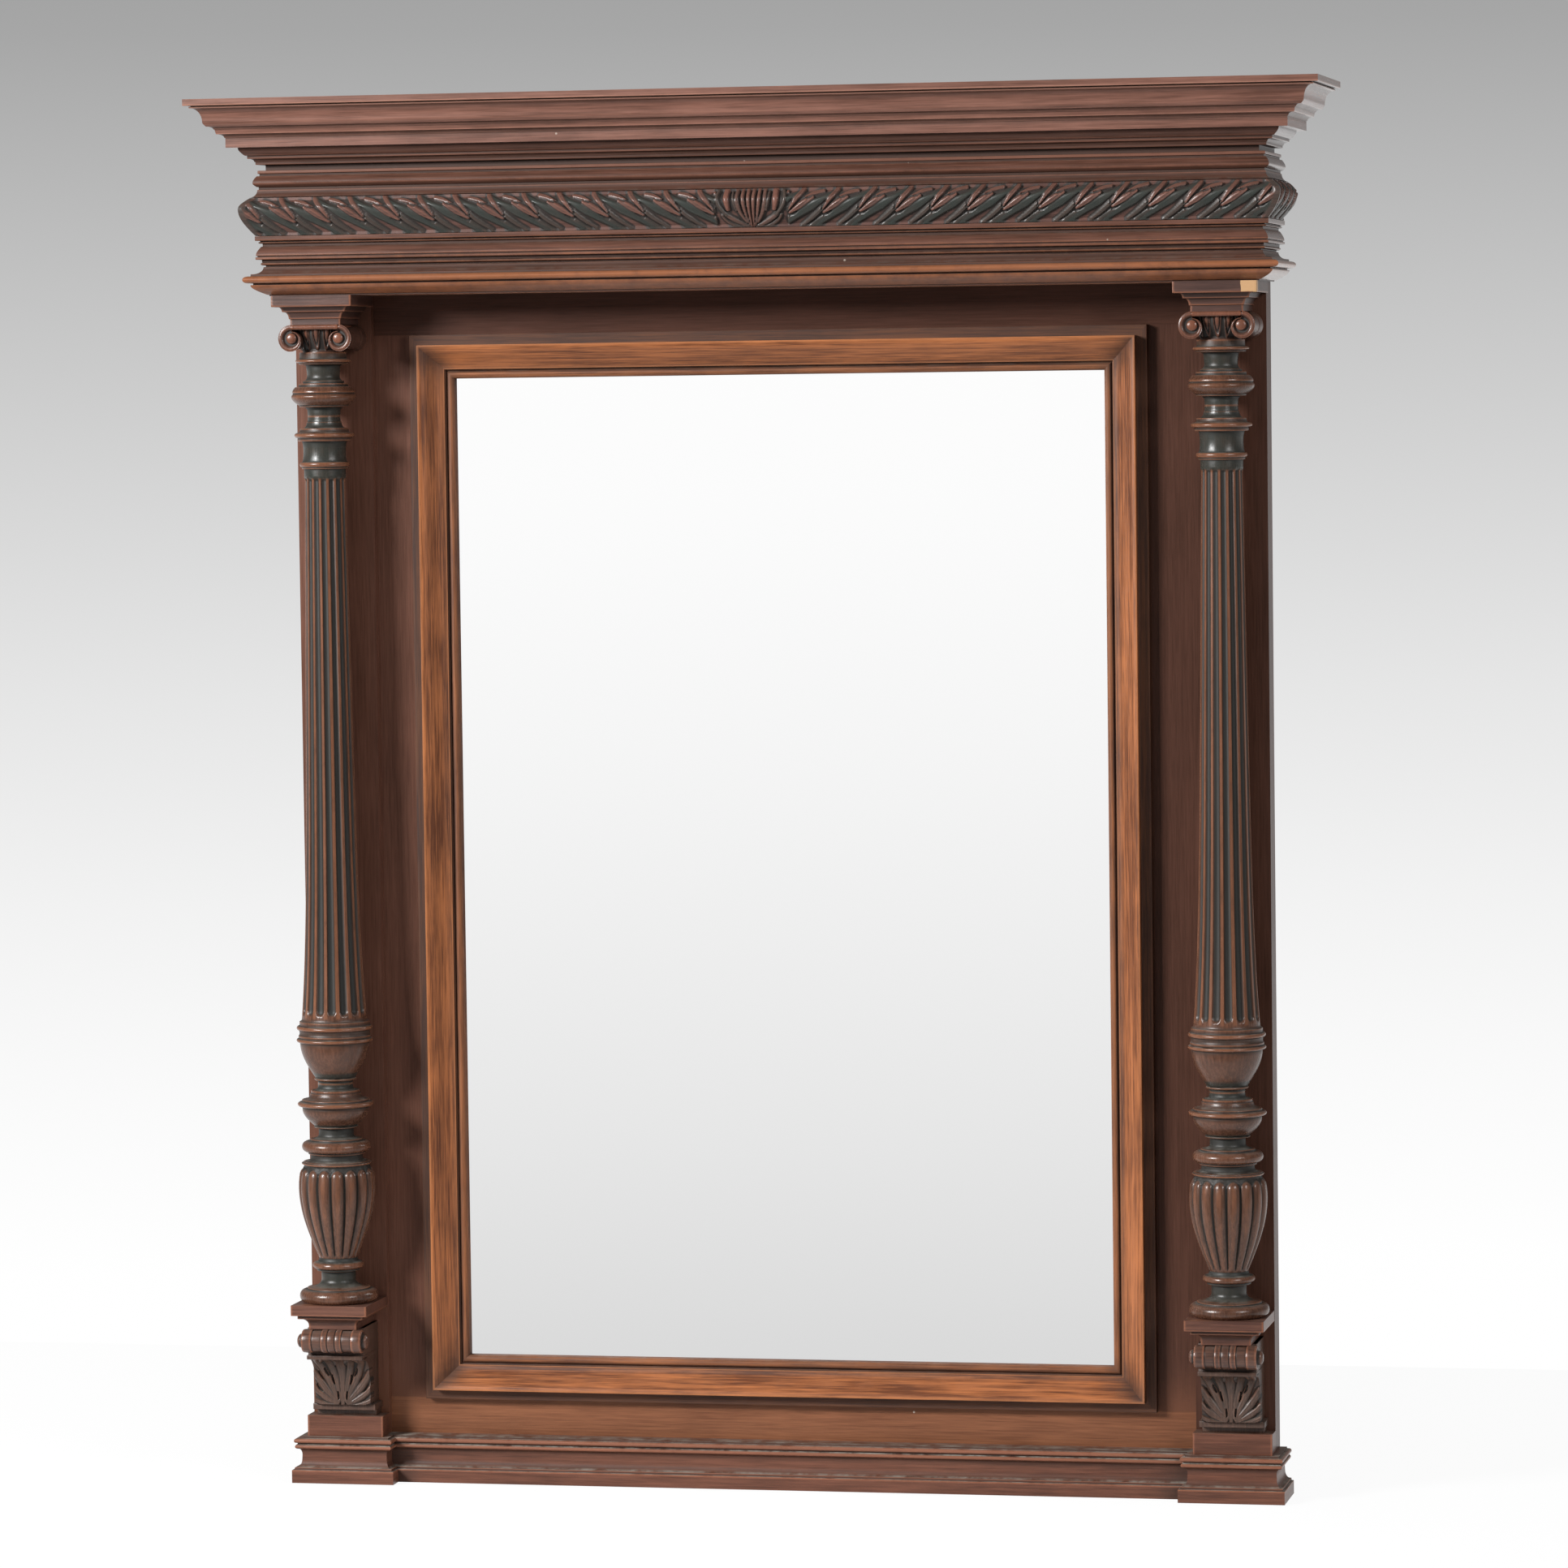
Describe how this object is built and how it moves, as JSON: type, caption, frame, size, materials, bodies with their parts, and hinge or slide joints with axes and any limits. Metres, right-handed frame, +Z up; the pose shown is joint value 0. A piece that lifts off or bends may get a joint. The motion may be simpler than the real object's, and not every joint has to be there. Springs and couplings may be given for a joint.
{
  "type": "overmantel mirror",
  "caption": "Overmantel mirror in carved walnut: a mirror in a moulded frame between fluted columns on scrolled consoles, under a deep moulded entablature with a carved frieze.",
  "frame": {"origin": "middle of the bounding box's base, on the mantel shelf", "axes": "+X to the viewer's right, +Y towards the wall, +Z up"},
  "size_m": [1.454, 0.23, 1.8],
  "materials": {
    "walnut": "waxed, worn on the high lines",
    "frame_walnut": "waxed",
    "carved_walnut": "dull, dark in the hollows",
    "deal": "bare",
    "mirror": "silvered",
    "iron": "dark"
  },
  "bodies": {
    "root": {"outer_stile_left": "walnut", "outer_stile_right": "walnut", "field_stile_left": "walnut", "field_stile_right": "walnut", "field_top_rail": "walnut", "field_bottom_rail": "walnut", "frame_moulding_left": "frame_walnut", "frame_moulding_right": "frame_walnut", "frame_moulding_top": "frame_walnut", "frame_moulding_bottom": "frame_walnut", "mirror_plate": "mirror", "backboard_1": "deal", "backboard_2": "deal", "backboard_3": "deal", "backboard_4": "deal", "mirror_wedges": "deal", "base_moulding_centre": "walnut", "plinth_block_left": "walnut", "plinth_block_right": "walnut", "plinth_moulding_left_front": "walnut", "plinth_moulding_left_outer": "walnut", "plinth_moulding_left_inner": "walnut", "plinth_moulding_right_front": "walnut", "plinth_moulding_right_outer": "walnut", "plinth_moulding_right_inner": "walnut", "console_left": "carved_walnut", "console_right": "carved_walnut", "scroll_roll_left": "walnut", "scroll_roll_right": "walnut", "shelf_left": "walnut", "shelf_right": "walnut", "column_vase_left": "walnut", "column_vase_right": "walnut", "column_shaft_left": "walnut", "column_shaft_right": "walnut", "column_neck_left": "walnut", "column_neck_right": "walnut", "capital_left": "carved_walnut", "capital_right": "carved_walnut", "abacus_left": "walnut", "abacus_right": "walnut", "entablature_front_board": "walnut", "entablature_end_left": "walnut", "entablature_end_right": "walnut", "soffit_board": "walnut", "top_board": "walnut", "architrave_front": "walnut", "architrave_left": "walnut", "architrave_right": "walnut", "frieze_cushion_front": "carved_walnut", "frieze_cushion_left": "carved_walnut", "frieze_cushion_right": "carved_walnut", "bed_moulding_front": "walnut", "bed_moulding_left": "walnut", "bed_moulding_right": "walnut", "crown_moulding_front": "walnut", "crown_moulding_left": "walnut", "crown_moulding_right": "walnut", "hanging_plates": "iron", "screws": "iron"}
  },
  "joints": []
}
